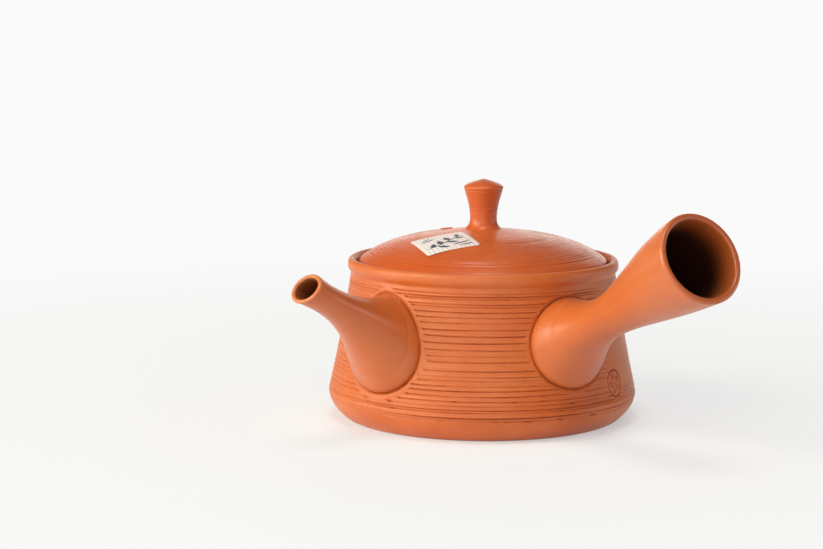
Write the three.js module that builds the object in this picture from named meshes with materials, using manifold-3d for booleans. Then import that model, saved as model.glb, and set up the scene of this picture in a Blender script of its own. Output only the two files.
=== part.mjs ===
// A side-handled Japanese teapot of unglazed red clay, standing closed on its flat base.
// Millimetres, +Z up. The origin is the centre of the base, on the table.
// The spout points along -X, and the hollow handle stands out near -Y, on the pourer's side.
import * as THREE from 'three';
import { mergeVertices } from 'three/addons/utils/BufferGeometryUtils.js';
import Module from 'manifold-3d';

// Pot: a low tapered drum, turned on a wheel, with a combed wall and a plain rim band
const baseRadius = 47.5;
const footRadius = 52.6;
const footHeight = 4.7;
const bellyRadius = 54;
const bellyHeight = 9.85;
const neckRadius = 46.33;
const neckHeight = 51.2;
const taperSag = 0.4;
const rimProud = 1.07;
const rimBand = 4.8;
const rimWall = 3.1;
const rimRound = 1.1;
const potWall = 3.2;
const floorThickness = 4;
const floorRound = 7;

// Gallery: the step inside the rim that carries the lid
const seatDepth = 3.4;
const seatWidth = 4.7;
const seatThickness = 2;
const galleryBevel = 0.55;

// Comb lines: shallow grooves scored round the wall while it turns
const combLines = 12;
const combDepth = 0.3;
const combHalfWidth = 0.35;
const combBottomGap = 4.4;
const combTopGap = 3.2;

// Spout: sizes in its own upright plane, distances from the pot's axis. Its root sits a little
// round the pot from that plane, and narrows towards its top.
const spoutTurn = 180;
const spoutRootTurn = 176.8;
const spoutRootHeight = 31.2;
const spoutRootHalfHeight = 16.3;
const spoutRootHalfWidth = 15.3;
const spoutRootNarrowingShare = 0.2;
const spoutReach = 89.35;
const spoutMouthHeight = 54.35;
const spoutMouthRise = 41.6;
const spoutMouthRadius = 5.79;
const spoutLipWall = 1.6;
const spoutRootWall = 3.4;
const spoutCrownShares = [[0.013, 0], [0.5, -0.2]];
const spoutBellyShares = [[0.352, 0.66], [0.55, 0.803]];
const spoutHoleRadius = 10.2;

// Side handle: a hollow trumpet, measured in the same way
const handleTurn = 254;
const handleRootTurn = 256.8;
const handleRootHeight = 32.4;
const handleRootHalfHeight = 14.9;
const handleRootHalfWidth = 15;
const handleRootNarrowingShare = 0.06;
const handleReach = 119;
const handleMouthHeight = 69;
const handleMouthRise = 27.2;
const handleMouthRadius = 15.04;
const handleLipWall = 2.2;
const handleRootWall = 3.4;
const handleCrownShares = [[0.502, -0.013], [0.538, 0.554]];
const handleBellyShares = [[0.138, 0.635], [0.487, 0.606]];

// Both limbs: the edge of the root that stands off the wall, and the rounded lip
const rootEdge = 1.2;
const rootWrapShare = 0.33;
const boreTaperShare = 0.5;
const lipRound = 0.8;
const jointGap = 0.3;

// Strainer: a pierced half ball over the spout's hole, inside the pot
const strainerRadius = 15.2;
const strainerWall = 1.7;
const strainerHoleRadius = 1.25;
const strainerHoleRings = 3;
const strainerHoleStep = 18.5;
const strainerRingCount = 6;

// Lid: a low dome with a locating flange under it
const lidGap = 0.9;
const lidEdgeHeight = 2.8;
const lidRise = 10.57;
const lidWall = 3;
const lidSlopeShare = 0.47;
const lidShoulderPower = 4.2;
const lidEdgeRound = 0.7;
const flangeGap = 0.9;
const flangeWall = 3.2;
const flangeDepth = 6;
const ventRadius = 1.5;
const ventReach = 15.8;
const ventTurn = 95;

// Knob
const knobFootRadius = 7;
const knobWaistRadius = 4.7;
const knobWaistHeight = 3.6;
const knobRadius = 6.85;
const knobCapHeight = 14.1;
const knobCapEdge = 0.6;
const knobHeight = 17.58;
const knobPadMargin = 0.2;
const knobFlareShare = 0.25;
const knobBodyShares = [[0, 0.4], [0.6, 0.75]];
const knobCrownShares = [[1, 0.35], [0.45, 0.8]];

// Label: a small paper sticker that follows the dome
const labelLength = 19.1;
const labelWidth = 19.4;
const labelThickness = 0.25;
const labelReach = 23;
const labelTurn = 185.1;
const labelTwist = -30.3;

// Mesh fineness, in counts
const potSides = 48;
const cutSides = 72;
const limbSides = 24;
const spoutSteps = 12;
const handleSteps = 12;
const lipSteps = 2;
const roundSteps = 3;
const domeSteps = 7;
const wallSteps = 6;
const knobSides = 24;
const knobSteps = 5;
const ballSides = 20;
const ballRings = 12;
const holeSides = 6;
const ventSides = 12;
const holeCutSides = 32;
const labelSteps = 5;

// One overrun serves all cuts
const overrun = 6;
const mergeDistance = 0.0001;

// Sizes that follow from the ones above
const degree = Math.PI / 180;
const rimRadius = neckRadius + rimProud;
const rimHeight = neckHeight + rimBand;
const galleryRadius = rimRadius - rimWall;
const seatHeight = rimHeight - seatDepth;
const potMouthRadius = galleryRadius - seatWidth;
const lidRadius = galleryRadius - lidGap;
const lidPadRadius = knobFootRadius + knobPadMargin;
const lidTopHeight = lidEdgeHeight + lidRise;
const flangeRadius = potMouthRadius - flangeGap;
const flangeBore = flangeRadius - flangeWall;

const wasm = await Module();
wasm.setup();

// Outer radius of the combed wall at a height above the table
function wallRadius(height) {
  const share = (height - bellyHeight) / (neckHeight - bellyHeight);
  const straight = bellyRadius + (neckRadius - bellyRadius) * share;
  return straight - taperSag * 4 * share * (1 - share);
}

// Height of the lid's upper face above its seat, at a radius
function domeHeight(radius) {
  const share = Math.max(0, (radius - lidPadRadius) / (lidRadius - lidPadRadius));
  const drop = lidSlopeShare * share + (1 - lidSlopeShare) * share ** lidShoulderPower;
  return lidTopHeight - lidRise * drop;
}

function toSolid(geometry) {
  const bare = geometry.clone();
  bare.deleteAttribute('normal');
  bare.deleteAttribute('uv');
  const merged = mergeVertices(bare, mergeDistance);
  const vertProperties = new Float32Array(merged.attributes.position.array);
  const triVerts = new Uint32Array(merged.index.array);
  return new wasm.Manifold(new wasm.Mesh({ numProp: 3, vertProperties, triVerts }));
}

function toGeometry(solid) {
  const mesh = solid.getMesh();
  const geometry = new THREE.BufferGeometry();
  geometry.setAttribute('position', new THREE.BufferAttribute(mesh.vertProperties, 3));
  geometry.setIndex(new THREE.BufferAttribute(mesh.triVerts, 1));
  geometry.computeVertexNormals();
  return geometry;
}

// Turns a profile of [radius, height] points round the Z axis
function turned(profile, sides) {
  const points = profile.map(([radius, height]) => new THREE.Vector2(radius, height));
  const geometry = new THREE.LatheGeometry(points, sides);
  geometry.rotateX(Math.PI / 2);
  return geometry;
}

// Points of a quarter round from one profile point to another, bulging towards a corner
function rounded(start, corner, end, steps) {
  const curve = new THREE.QuadraticBezierCurve(
    new THREE.Vector2(...start),
    new THREE.Vector2(...corner),
    new THREE.Vector2(...end),
  );
  return curve.getPoints(steps).map((point) => [point.x, point.y]);
}

// Outer profile of the pot from the centre of its base up to the top of the rim
function outerProfile(withCombLines) {
  const profile = [[0, 0], [baseRadius, 0], [footRadius, footHeight], [bellyRadius, bellyHeight]];
  const combBottom = bellyHeight + combBottomGap;
  const combTop = neckHeight - combTopGap;
  const combPitch = (combTop - combBottom) / (combLines - 1);
  for (let line = 0; line < combLines; line += 1) {
    const height = combBottom + line * combPitch;
    profile.push([wallRadius(height - combHalfWidth), height - combHalfWidth]);
    if (withCombLines) profile.push([wallRadius(height) - combDepth, height]);
    profile.push([wallRadius(height + combHalfWidth), height + combHalfWidth]);
  }
  profile.push([neckRadius, neckHeight]);
  profile.push([rimRadius, neckHeight + rimProud]);
  const roundStart = [rimRadius, rimHeight - rimRound];
  const roundEnd = [rimRadius - rimRound, rimHeight];
  profile.push(...rounded(roundStart, [rimRadius, rimHeight], roundEnd, roundSteps));
  return profile;
}

// Inner wall of the tea chamber, from the underside of the gallery down to the floor's centre
function chamberProfile(gap) {
  const wall = potWall + gap;
  const seatUnderside = seatHeight - seatThickness - gap;
  const slopeEnd = seatUnderside - (wallRadius(seatUnderside) - wall - (potMouthRadius - gap));
  const floor = floorThickness + gap;
  const cornerTop = floor + floorRound;
  const profile = [[potMouthRadius - gap, seatUnderside]];
  for (let step = 0; step <= wallSteps; step += 1) {
    const height = slopeEnd + ((cornerTop - slopeEnd) * step) / wallSteps;
    profile.push([wallRadius(height) - wall, height]);
  }
  const cornerRadius = wallRadius(cornerTop) - wall;
  const cornerStart = [cornerRadius, cornerTop];
  const cornerEnd = [cornerRadius - floorRound, floor];
  profile.push(...rounded(cornerStart, [cornerRadius, floor], cornerEnd, roundSteps).slice(1));
  profile.push([0, floor]);
  return profile;
}

function makePot() {
  const profile = outerProfile(true);
  profile.push([galleryRadius + galleryBevel, rimHeight]);
  profile.push([galleryRadius, rimHeight - galleryBevel]);
  profile.push([galleryRadius, seatHeight]);
  profile.push([potMouthRadius, seatHeight]);
  profile.push(...chamberProfile(0));
  const hole = new THREE.CylinderGeometry(spoutHoleRadius, spoutHoleRadius, bellyRadius, holeCutSides);
  hole.rotateZ(Math.PI / 2);
  hole.translate(bellyRadius, 0, spoutRootHeight);
  hole.rotateZ(spoutTurn * degree);
  return toGeometry(toSolid(turned(profile, potSides)).subtract(toSolid(hole)));
}

// The pot's outside, grown by the joint gap, that the limbs are cut by
function potEnvelope() {
  const [centre, ...outline] = outerProfile(false);
  const grown = outline.map(([radius, height]) => [radius + jointGap, height]);
  return toSolid(turned([centre, ...grown, [0, rimHeight]], cutSides));
}

// Upper and lower outline of a limb in its own upright plane, from its root to its mouth
function limbCurves(limb) {
  const rise = limb.mouthRise * degree;
  const tilt = new THREE.Vector2(-Math.sin(rise), Math.cos(rise)).multiplyScalar(limb.mouthRadius);
  const mouth = new THREE.Vector2(limb.reach, limb.mouthHeight);
  const outline = (side, shares) => {
    const rootHeight = limb.rootHeight + side * limb.rootHalfHeight;
    const root = new THREE.Vector2(wallRadius(rootHeight) + rootEdge, rootHeight);
    const lip = mouth.clone().addScaledVector(tilt, side);
    const span = lip.clone().sub(root);
    const guides = shares.map(([along, up]) => new THREE.Vector2(along, up).multiply(span).add(root));
    return new THREE.CubicBezierCurve(root, ...guides, lip);
  };
  return { crown: outline(1, limb.crownShares), belly: outline(-1, limb.bellyShares) };
}

// A round of the limb: its centre, its half height along the round, its half width, its place
// aside from the limb's plane, and how much narrower it is at its top than at its middle
function limbRound(limb, curves, share) {
  const top = curves.crown.getPoint(share);
  const bottom = curves.belly.getPoint(share);
  const centre = top.clone().add(bottom).multiplyScalar(0.5);
  const up = top.clone().sub(bottom).multiplyScalar(0.5);
  const rootWidth = limb.rootHalfWidth / limb.rootHalfHeight;
  const nearRoot = (1 - share) ** 2;
  const width = up.length() * (1 + (rootWidth - 1) * nearRoot);
  const rootAside = wallRadius(limb.rootHeight) * Math.sin((limb.rootTurn - limb.turn) * degree);
  return { centre, up, width, aside: rootAside * nearRoot, narrowing: limb.narrowingShare * nearRoot };
}

// A closed body through a list of rounds, made from a unit cylinder whose rings are moved
function limbBody(limb, rounds) {
  const last = rounds.length - 1;
  const wall = wallRadius(limb.rootHeight);
  const geometry = new THREE.CylinderGeometry(1, 1, 1, limbSides, last);
  const position = geometry.attributes.position;
  for (let index = 0; index < position.count; index += 1) {
    const round = rounds[Math.round((position.getY(index) + 0.5) * last)];
    const height = position.getZ(index);
    const width = round.width * (1 - round.narrowing * height);
    const side = round.aside - position.getX(index) * width;
    const wrap = round.wrap * (wall - Math.sqrt(wall ** 2 - side ** 2));
    const across = round.centre.x + height * round.up.x - wrap;
    position.setXYZ(index, across, side, round.centre.y + height * round.up.y);
  }
  return toSolid(geometry);
}

// Rounds from the root to the mouth. A wall thickness makes them the rounds of the bore.
function limbRounds(limb, hollow) {
  const curves = limbCurves(limb);
  const rise = limb.mouthRise * degree;
  const outward = new THREE.Vector2(Math.cos(rise), Math.sin(rise));
  const rounds = [];
  for (let step = 0; step <= limb.steps; step += 1) {
    const share = step / limb.steps;
    const round = limbRound(limb, curves, share);
    const taper = Math.min(1, share / boreTaperShare);
    const wall = hollow ? limb.rootWall + (limb.lipWall - limb.rootWall) * taper : 0;
    round.up.multiplyScalar(1 - wall / round.up.length());
    round.width -= wall;
    round.wrap = Math.max(0, 1 - share / rootWrapShare) ** 2;
    rounds.push(round);
  }
  const root = rounds[0];
  const inward = new THREE.Vector2(-rootEdge - overrun, 0);
  rounds.unshift({ ...root, centre: root.centre.clone().add(inward) });
  const mouth = rounds.pop();
  const turn = hollow ? 1 : -1;
  for (let step = 0; step <= lipSteps; step += 1) {
    const angle = (step / lipSteps) * (Math.PI / 2);
    const back = lipRound * (1 - Math.sin(angle));
    const inset = turn * lipRound * (1 - Math.cos(angle));
    const scale = 1 + inset / mouth.up.length();
    rounds.push({
      centre: mouth.centre.clone().addScaledVector(outward, -back),
      up: mouth.up.clone().multiplyScalar(scale),
      width: mouth.width + inset,
      wrap: 0,
      aside: 0,
      narrowing: 0,
    });
  }
  if (hollow) {
    const last = rounds[rounds.length - 1];
    rounds.push({ ...last, centre: last.centre.clone().addScaledVector(outward, overrun) });
  }
  return rounds;
}

function makeLimb(limb) {
  const outside = limbBody(limb, limbRounds(limb, false));
  const bore = limbBody(limb, limbRounds(limb, true));
  return toGeometry(outside.subtract(potEnvelope()).subtract(bore));
}

function makeStrainer() {
  const seat = wallRadius(spoutRootHeight) - potWall;
  const ball = new THREE.SphereGeometry(strainerRadius, ballSides, ballRings);
  const hollow = new THREE.SphereGeometry(strainerRadius - strainerWall, ballSides, ballRings);
  let shell = toSolid(ball).subtract(toSolid(hollow));
  for (let ring = 0; ring <= strainerHoleRings; ring += 1) {
    const count = ring === 0 ? 1 : Math.min(ring, 2) * strainerRingCount;
    for (let hole = 0; hole < count; hole += 1) {
      const bore = strainerHoleRadius;
      const drill = new THREE.CylinderGeometry(bore, bore, strainerRadius, holeSides);
      drill.translate(0, strainerRadius, 0);
      drill.rotateZ(Math.PI / 2 + ring * strainerHoleStep * degree);
      drill.rotateX(((hole + (ring % 2) / 2) / count) * Math.PI * 2);
      shell = shell.subtract(toSolid(drill));
    }
  }
  const chamber = [[0, seatHeight - seatThickness - jointGap], ...chamberProfile(jointGap)].reverse();
  const inside = toSolid(turned(chamber, cutSides).translate(-seat, 0, -spoutRootHeight));
  const roomRadius = flangeRadius + jointGap;
  const flangeRoom = new THREE.CylinderGeometry(roomRadius, roomRadius, seatHeight, cutSides);
  flangeRoom.rotateX(Math.PI / 2);
  flangeRoom.translate(-seat, 0, seatHeight * 1.5 - flangeDepth - jointGap - spoutRootHeight);
  const geometry = toGeometry(shell.intersect(inside).subtract(toSolid(flangeRoom)));
  geometry.translate(seat, 0, spoutRootHeight);
  return geometry;
}

function makeLid() {
  const crownRadius = lidRadius - lidEdgeRound;
  const edge = domeHeight(crownRadius);
  const profile = [[0, domeHeight(0) - lidWall]];
  for (let step = 1; step <= domeSteps; step += 1) {
    const radius = (flangeBore * step) / domeSteps;
    profile.push([radius, domeHeight(radius) - lidWall]);
  }
  profile.push([flangeBore, -flangeDepth]);
  profile.push([flangeRadius, -flangeDepth]);
  profile.push([flangeRadius, 0]);
  profile.push([lidRadius, 0]);
  const roundStart = [lidRadius, edge - lidEdgeRound];
  profile.push(...rounded(roundStart, [lidRadius, edge], [crownRadius, edge], roundSteps));
  for (let step = domeSteps - 1; step >= 0; step -= 1) {
    const radius = lidPadRadius + ((crownRadius - lidPadRadius) * step) / domeSteps;
    profile.push([radius, domeHeight(radius)]);
  }
  profile.push([0, domeHeight(0)]);
  const vent = new THREE.CylinderGeometry(ventRadius, ventRadius, lidTopHeight + overrun, ventSides);
  vent.rotateX(Math.PI / 2);
  vent.translate(ventReach, 0, lidTopHeight);
  vent.rotateZ(ventTurn * degree);
  return toGeometry(toSolid(turned(profile, potSides)).subtract(toSolid(vent)));
}

function makeKnob() {
  const bodyRise = knobCapHeight - knobWaistHeight;
  const crownHeight = knobCapHeight + knobCapEdge;
  const body = knobBodyShares.flatMap(([across, up]) => [
    knobWaistRadius + across * (knobRadius - knobWaistRadius),
    knobWaistHeight + up * bodyRise,
  ]);
  const crown = knobCrownShares.flatMap(([across, up]) => [
    across * knobRadius,
    crownHeight + up * (knobHeight - crownHeight),
  ]);
  const outline = new THREE.Path();
  outline.moveTo(0, 0);
  outline.lineTo(knobFootRadius, 0);
  const flareHeight = knobWaistHeight * knobFlareShare;
  outline.quadraticCurveTo(knobWaistRadius, flareHeight, knobWaistRadius, knobWaistHeight);
  outline.bezierCurveTo(...body, knobRadius, knobCapHeight);
  outline.lineTo(knobRadius, crownHeight);
  outline.bezierCurveTo(...crown, 0, knobHeight);
  const points = outline.getPoints(knobSteps).map((point) => [point.x, point.y]);
  return turned(points, knobSides);
}

function makeLabel() {
  const geometry = new THREE.BoxGeometry(1, 1, 1, labelSteps, labelSteps, 1);
  geometry.scale(labelLength, labelWidth, 1);
  geometry.rotateZ((labelTwist - labelTurn) * degree);
  geometry.translate(labelReach, 0, 0);
  geometry.rotateZ(labelTurn * degree);
  const position = geometry.attributes.position;
  for (let index = 0; index < position.count; index += 1) {
    const radius = Math.hypot(position.getX(index), position.getY(index));
    const lift = jointGap + (position.getZ(index) + 0.5) * labelThickness;
    position.setZ(index, domeHeight(radius) + lift);
  }
  geometry.computeVertexNormals();
  return geometry;
}

const clay = { roughness: 0.5, metalness: 0 };

function piece(name, geometry, color, finish = clay) {
  const mesh = new THREE.Mesh(geometry, new THREE.MeshStandardMaterial({ color, ...finish }));
  mesh.name = name;
  return mesh;
}

const spout = {
  steps: spoutSteps,
  turn: spoutTurn,
  rootTurn: spoutRootTurn,
  rootHeight: spoutRootHeight,
  rootHalfHeight: spoutRootHalfHeight,
  rootHalfWidth: spoutRootHalfWidth,
  narrowingShare: spoutRootNarrowingShare,
  reach: spoutReach,
  mouthHeight: spoutMouthHeight,
  mouthRise: spoutMouthRise,
  mouthRadius: spoutMouthRadius,
  lipWall: spoutLipWall,
  rootWall: spoutRootWall,
  crownShares: spoutCrownShares,
  bellyShares: spoutBellyShares,
};

const handle = {
  steps: handleSteps,
  turn: handleTurn,
  rootTurn: handleRootTurn,
  rootHeight: handleRootHeight,
  rootHalfHeight: handleRootHalfHeight,
  rootHalfWidth: handleRootHalfWidth,
  narrowingShare: handleRootNarrowingShare,
  reach: handleReach,
  mouthHeight: handleMouthHeight,
  mouthRise: handleMouthRise,
  mouthRadius: handleMouthRadius,
  lipWall: handleLipWall,
  rootWall: handleRootWall,
  crownShares: handleCrownShares,
  bellyShares: handleBellyShares,
};

const teapot = new THREE.Group();
teapot.add(piece('pot', makePot(), '#c4653c'));

const spoutSide = new THREE.Group();
spoutSide.rotation.z = spoutTurn * degree;
spoutSide.add(piece('spout', makeLimb(spout), '#b85c37'));
spoutSide.add(piece('strainer', makeStrainer(), '#bf6039'));
teapot.add(spoutSide);

const handleSide = new THREE.Group();
handleSide.rotation.z = handleTurn * degree;
handleSide.add(piece('side_handle', makeLimb(handle), '#d0703f'));
teapot.add(handleSide);

const lidSide = new THREE.Group();
lidSide.position.z = seatHeight;
lidSide.add(piece('lid', makeLid(), '#c25a2f'));
const knob = piece('lid_knob', makeKnob(), '#bd6238');
knob.position.z = lidTopHeight;
lidSide.add(knob);
lidSide.add(piece('lid_label', makeLabel(), '#ece9e4', { roughness: 0.7, metalness: 0 }));
teapot.add(lidSide);

export default teapot;
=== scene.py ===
import math

import bpy
import numpy as np
from mathutils import Matrix, Vector


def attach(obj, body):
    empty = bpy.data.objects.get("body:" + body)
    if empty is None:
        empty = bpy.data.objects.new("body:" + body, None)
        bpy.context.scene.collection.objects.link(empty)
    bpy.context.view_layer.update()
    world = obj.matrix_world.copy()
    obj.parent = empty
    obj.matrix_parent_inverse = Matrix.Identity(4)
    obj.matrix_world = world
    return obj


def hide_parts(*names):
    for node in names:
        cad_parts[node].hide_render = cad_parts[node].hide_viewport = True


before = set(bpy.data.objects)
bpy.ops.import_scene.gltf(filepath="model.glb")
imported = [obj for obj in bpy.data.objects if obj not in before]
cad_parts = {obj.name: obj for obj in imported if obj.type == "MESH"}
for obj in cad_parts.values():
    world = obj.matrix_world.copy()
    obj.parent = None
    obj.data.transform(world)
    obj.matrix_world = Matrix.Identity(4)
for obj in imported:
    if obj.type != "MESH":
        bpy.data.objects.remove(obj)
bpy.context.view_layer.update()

MM = 0.001
TURN = 2 * math.pi
TINY = 1e-6
POT_BODY = "pot_body"
LID_BODY = "lid_body"

# Pot
BASE_RADIUS = 47.5
FOOT_BULGE = ((51.9, 3.1), (54.0, 6.4))
BELLY_RADIUS = 54.0
BELLY_HEIGHT = 9.85
BELLY_INSET = 0.03
NECK_RADIUS = 46.33
NECK_HEIGHT = 51.2
TAPER_SAG = 0.4
RIM_PROUD = 1.07
RIM_BAND = 4.8
RIM_WALL = 3.1
POT_WALL = 3.2
FLOOR = 4.0
FLOOR_ROUND = 7.0
SEAT_DEPTH = 3.4
SEAT_WIDTH = 4.7
SEAT_THICKNESS = 2.0
RIM_RADIUS = NECK_RADIUS + RIM_PROUD
RIM_HEIGHT = NECK_HEIGHT + RIM_BAND
GALLERY_RADIUS = RIM_RADIUS - RIM_WALL
SEAT_HEIGHT = RIM_HEIGHT - SEAT_DEPTH
MOUTH_RADIUS = GALLERY_RADIUS - SEAT_WIDTH
NECK_HOLLOW = 0.12
RIM_SWELL = 1.4
RIM_SHOULDER = 1.0
RIM_CHAMFER = 0.9
GALLERY_CHAMFER = (1.15, 1.6)
FLOOR_COVE = 12
# Corners of the base: radius beyond the base's own, height and rounding
BASE_CORNERS = ((-0.8, 0, 0.4), (0, 0.25, 0.3), (0.4, 0.55, 0))

# Steps of the pot's mesh
POT_SIDES = 720
POT_START = 1.5
FOOT_STEP = 0.35
WALL_START = 6.4
WALL_END = 50.2
WALL_STEP = 0.1

# Unevenness of the thrown clay, and the throwing rings inside
WALL_UNEVEN = 0.05
THROWING_DEPTH = 0.12
THROWING_TURN = 1.45
THROWING_SHIFT = 0.4
THROWING_TOP = 46

# Comb lines scored in the wall: height and depth of each
COMB_LINES = (
    (49.3, 0.22), (48.2, 0.5), (47.5, 0.25), (45.8, 0.36), (44.9, 0.3), (43.3, 0.38), (41.5, 0.34),
    (39.7, 0.34), (37.4, 0.36), (35.4, 0.34), (33.2, 0.38), (30.9, 0.4), (28.9, 0.32), (27.0, 0.4),
    (24.1, 0.38), (22.1, 0.36), (20.8, 0.3), (19.2, 0.36), (17.6, 0.38), (15.9, 0.34), (14.2, 0.38),
    (12.7, 0.34), (11.4, 0.42), (10.7, 0.28), (8.8, 0.55), (7.8, 0.24),
)
COMB_FORCE = 0.98
COMB_WOBBLE = 0.05
COMB_UNEVEN = 0.17
COMB_STOP = (0.9, 1.9)
COMB_STOP_WOBBLE = 0.25
COMB_STOP_FADE = 0.35
COMB_ENDS = ((WALL_START, WALL_START + 0.8), (WALL_END, WALL_END - 0.6))
COMBED_FADE = (0.6, 1.8)
# Painted shade in the grooves: the groove depth at which it is full, and the extra weight given to the seal's
# lines
PAINTED_SHADE_DEPTH = 0.5
PAINTED_SHADE_STAMP = 1.5

# Pits where the lines end beside the spout
END_PIT_DEPTH = 0.6
END_PIT_WIDTH = 0.38
END_PIT_HEIGHT = 0.34
END_PIT_REACH = 8

# Fine flutes between the lines
FLUTE_PITCH = 0.95
FLUTE_SPACING = (0.7, 1.3)
FLUTE_MARGIN = (1.0, 0.5)
FLUTE_DEPTH = (0.02, 0.07)
FLUTE_WIDTH = (0.14, 0.24)
FLUTE_WOBBLE = 0.06
FLUTE_UNEVEN = 0.35
FLUTE_BURR = 0.6
FLUTE_BURR_RISE = 0.36
FLUTE_FADE = (0.7, 1.7)

# Torn spots along the lines
PIT_COUNT = 170
PIT_SIZE = (0.25, 0.5)
PIT_DEPTH = (0.2, 0.6)
PIT_LENGTHS = (1.0, 2.6)
PIT_HEIGHT = 0.7
PIT_BURR = 0.6
PIT_BURR_SHIFT = 1.3
PIT_CLEARANCE = 1.4

# Where the comb pressed lightly: bearings in radians, and heights, over which that fades in and out
SEAL_SIDE = ((4.7, 4.86), (5.7, 5.4))
SEAL_SIDE_HEIGHT = (12.5, 16)
SEAL_SIDE_EASE = 0.82
FAR_SIDE = ((2.0, 2.35), (3.2, 3.0))
FAR_SIDE_EASE = 0.45

# Cross-sections of grooves, as humps: the depth, place and half-width of each. Below zero is a burr.
COMB_SECTION = ((0.8, 0, 0.16), (0.24, -0.4, 0.7), (-0.24, 0.36, 0.2), (-0.1, -0.42, 0.16))
ROOT_SECTION = ((0.42, 0.2, 0.42), (0.16, 0.5, 1.0), (-0.13, 1.5, 0.7))
ROOT_LIP = ((0.2, 0.7, 1.6),)
ROOT_UNEVEN = 0.25
COVERED = 2.4
COVERED_DEPTH = 0.15

# Seal: a ring round a flower
STAMP_TURN = 279.4
STAMP_HEIGHT = 16.45
STAMP_RADIUS = 4.5
STAMP_SECTION = ((0.7, STAMP_RADIUS, 0.26), (0.3, 0, 0.42))
STAMP_SINK = 0.08
STAMP_EDGE = (STAMP_RADIUS + 1.2, STAMP_RADIUS + 0.2)
STAMP_WIPE = 0.75
STAMP_FINE_TURN = 6.2
PETALS = 5
PETAL_REACH = 2.35
PETAL_SECTION = ((0.4, 0.75, 0.2),)

# Limbs, measured in their own upright planes from the pot's axis
# lip_painted_shade is painted shade on a limb's lip; bore_shade and bore_fade paint shade down its bore
SPOUT = dict(
    turn=180, root_turn=176.8, root_height=31.2, half_height=16.3, half_width=14.8, narrowing=0.2,
    reach=89.35, mouth_height=54.35, mouth_rise=41.6, mouth_radius=5.79, lip_wall=1.6, root_wall=3.4,
    crown=((0.013, 0.0), (0.5, -0.2)), belly=((0.352, 0.66), (0.55, 0.803)),
    bore_shade=0.68, bore_fade=(-0.5, 0.1), lip_paleness=0.55, lip_painted_shade=0, wiped=1.3,
)
HANDLE = dict(
    turn=254, root_turn=256.8, root_height=32.4, half_height=14.9, half_width=15.0, narrowing=0.06,
    reach=119.0, mouth_height=69.0, mouth_rise=27.2, mouth_radius=15.04, lip_wall=2.2, root_wall=3.4,
    crown=((0.502, -0.013), (0.538, 0.554)), belly=((0.138, 0.635), (0.487, 0.606)),
    bore_shade=0.97, bore_fade=(-0.5, 0.5), lip_paleness=0, lip_painted_shade=0.62, wiped=0.1,
)
ROOT_EDGE = 1.2
ROOT_SINK = 0.7
ROOT_ROUND_SHARE = 0.045
ROOT_WRAP_SHARE = 0.33
BORE_TAPER_SHARE = 0.5
ROOT_ROWS = 8
LIMB_ROWS = 90
LIP_ROWS = 12
LIMB_SIDES = 120
LIMB_UNEVEN = 0.0035
COLLAR_DEPTH = 0.012
SPOUT_HOLE_RADIUS = 10.2
SPOUT_HOLE_REACH = (40, 60)

# Strainer
BALL_RADIUS = 15.2
BALL_WALL = 1.7
STRAINER_HOLE = 0.55
STRAINER_RINGS = 6
STRAINER_STEP = 9.6
DRILL_PAST = (2, 1)
BALL_SKIRT = 1.2
BALL_SKIRT_FLARE = 0.5

# Lid
LID_GAP = 0.9
LID_EDGE_HEIGHT = 2.8
LID_RISE = 10.57
LID_WALL = 3.0
LID_SLOPE = 0.47
LID_POWER = 4.2
FLANGE_GAP = 0.9
FLANGE_WALL = 3.2
FLANGE_DEPTH = 6.0
VENT_RADIUS = 1.5
VENT_REACH = 15.8
VENT_TURN = 95.0
LID_RADIUS = GALLERY_RADIUS - LID_GAP
LID_PAD = 7.2
LID_TOP = LID_EDGE_HEIGHT + LID_RISE
FLANGE_RADIUS = MOUTH_RADIUS - FLANGE_GAP
FLANGE_BORE = FLANGE_RADIUS - FLANGE_WALL
LID_TOP_EDGE = LID_RADIUS - 2.1
LID_START = 1.0
LID_UNEVEN = 0.025

# Turned lines of the lid
LID_LINES = (9.0, LID_RADIUS - 3.6)
LID_LINE_PITCH = (0.95, 1.35)
LID_LINE_WOBBLE = 0.03
LID_LINE_UNEVEN = 0.16
LID_INNER_DEPTH = (0.012, 0.03)
LID_OUTER_DEPTH = (0.07, 0.17)
LID_OUTER = (14, 24)
LID_COMBED = (13, 22)
# The lid's painted shade in its turned lines is full at this groove depth
LID_PAINTED_SHADE_DEPTH = 0.3
LID_SECTION = ((1, 0, 0.17), (-0.45, 0.42, 0.3))
LID_EDGE_SECTION = ((0.22, LID_RADIUS - 3.4, 0.2), (0.1, LID_RADIUS - 1.9, 0.2))
VENT_SECTION = ((-0.42, VENT_RADIUS + 0.35, 0.42),)

# Knob
KNOB_FOOT = 7.0
KNOB_WAIST = 4.7
KNOB_WAIST_HEIGHT = 3.6
KNOB_RADIUS = 6.85
KNOB_CAP_HEIGHT = 14.1
KNOB_CAP_EDGE = 0.6
KNOB_HEIGHT = 17.58
KNOB_SECTION = ((0.08, 6.5, 0.16), (-0.07, 6.95, 0.22), (0.13, KNOB_CAP_HEIGHT - 0.28, 0.24))

# Label
LABEL_LENGTH = 19.1
LABEL_WIDTH = 19.4
LABEL_REACH = 23.0
LABEL_TURN = 185.1
LABEL_TWIST = -30.3
LABEL_CORNER = 1.5
LABEL_PAPER = 0.12
LABEL_REST = 0.03
LABEL_LIFT = 0.32
LABEL_STEPS = 48
INK_REST = 0.015
INK_LAYER = 0.004
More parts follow.
